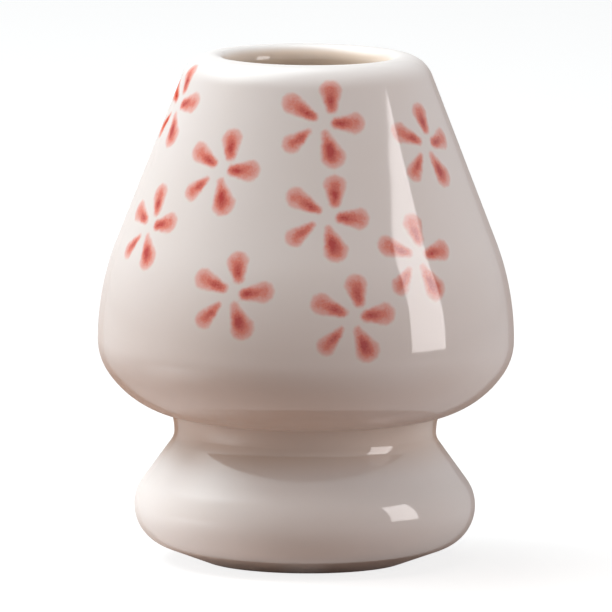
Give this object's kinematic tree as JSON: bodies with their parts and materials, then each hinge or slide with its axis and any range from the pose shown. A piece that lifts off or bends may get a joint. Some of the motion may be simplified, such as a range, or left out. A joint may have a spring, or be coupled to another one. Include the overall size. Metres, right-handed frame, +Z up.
{
  "type": "tea whisk holder",
  "caption": "Hollow porcelain stand for a bamboo tea whisk: a bell with a small rolled mouth on a flared hollow foot, joined at a narrow neck and painted with scattered blossoms.",
  "frame": {"origin": "centre of the foot's resting ring, on the surface that it stands on", "axes": "+Z up along the turned form's axis of symmetry; the painted front faces -Y"},
  "size_m": [0.062, 0.062, 0.0755],
  "materials": {
    "porcelain": "clear gloss glaze over warm white porcelain",
    "slip": "clear gloss glaze pooled over joining slip"
  },
  "bodies": {
    "root": {"foot": "porcelain", "neck_seam": "slip", "bell": "porcelain"}
  },
  "joints": []
}
